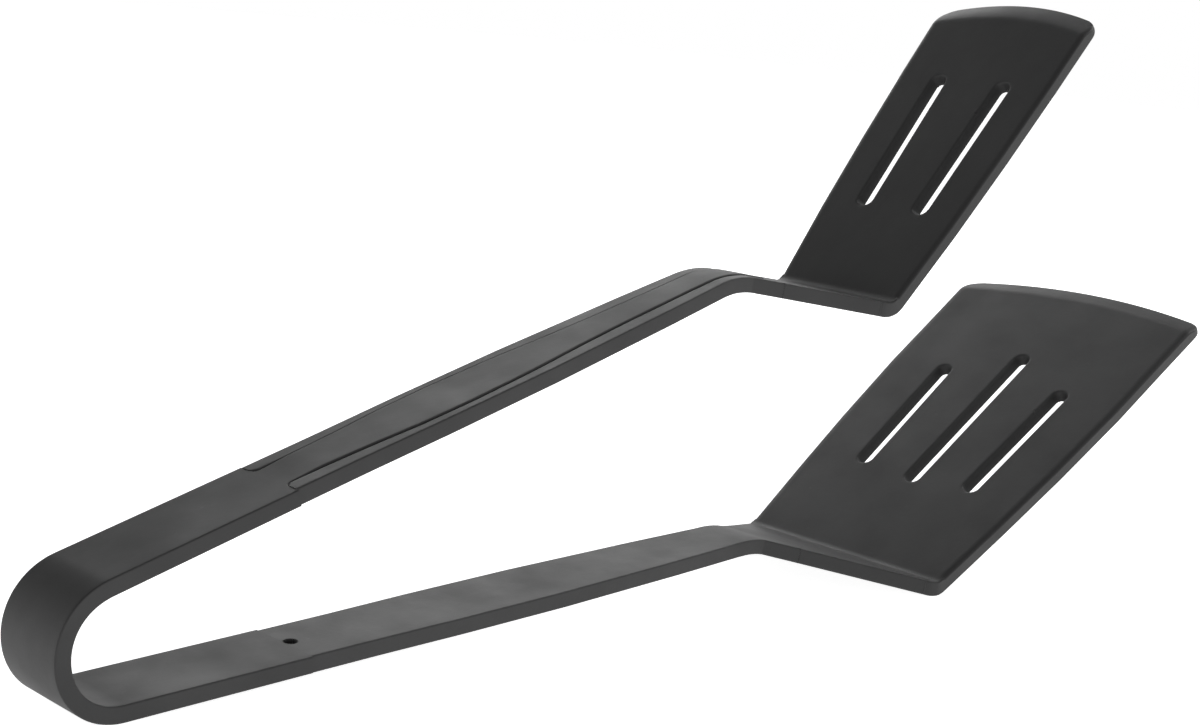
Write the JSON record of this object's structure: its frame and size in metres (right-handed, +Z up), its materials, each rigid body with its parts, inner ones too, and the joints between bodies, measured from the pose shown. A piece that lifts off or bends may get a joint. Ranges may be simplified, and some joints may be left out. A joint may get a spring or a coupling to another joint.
{
  "type": "spring loaded kitchen tongs",
  "caption": "Moulded turner tongs: slotted spatula blades on long flat arms, joined by a U-shaped spring bow that holds them open.",
  "frame": {"origin": "centre of the footprint's bounding box, on the surface the tongs stand on", "axes": "+X from the spring bow towards the blades, +Y sideways across the arms, +Z up, the way the arms open; the bow and the heel of the wide blade stand on z = 0"},
  "size_m": [0.3248, 0.0734, 0.1411],
  "materials": {
    "turner_nylon": "fine matte moulded grain",
    "bow_nylon": "satin moulded",
    "strip_nylon": "satin moulded",
    "spring_steel": "rolled",
    "pin_steel": "dull"
  },
  "bodies": {
    "lower_side": {"lower_turner": "turner_nylon", "lower_cover_strip": "strip_nylon", "lower_locating_pin": "pin_steel", "spring_bow": "bow_nylon", "spring_core": "spring_steel"},
    "upper_side": {"upper_turner": "turner_nylon", "upper_cover_strip": "strip_nylon", "upper_locating_pin": "pin_steel"}
  },
  "joints": [
    {"name": "bow_flex", "type": "hinge", "parent": "lower_side", "child": "upper_side", "pos_m": [-0.14855, 0, 0.01359], "axis": [0, 1, 0], "range_deg": [0, 17], "stiffness_Nm_per_rad": 6.5, "deforming": ["spring_bow", "spring_core"]}
  ]
}
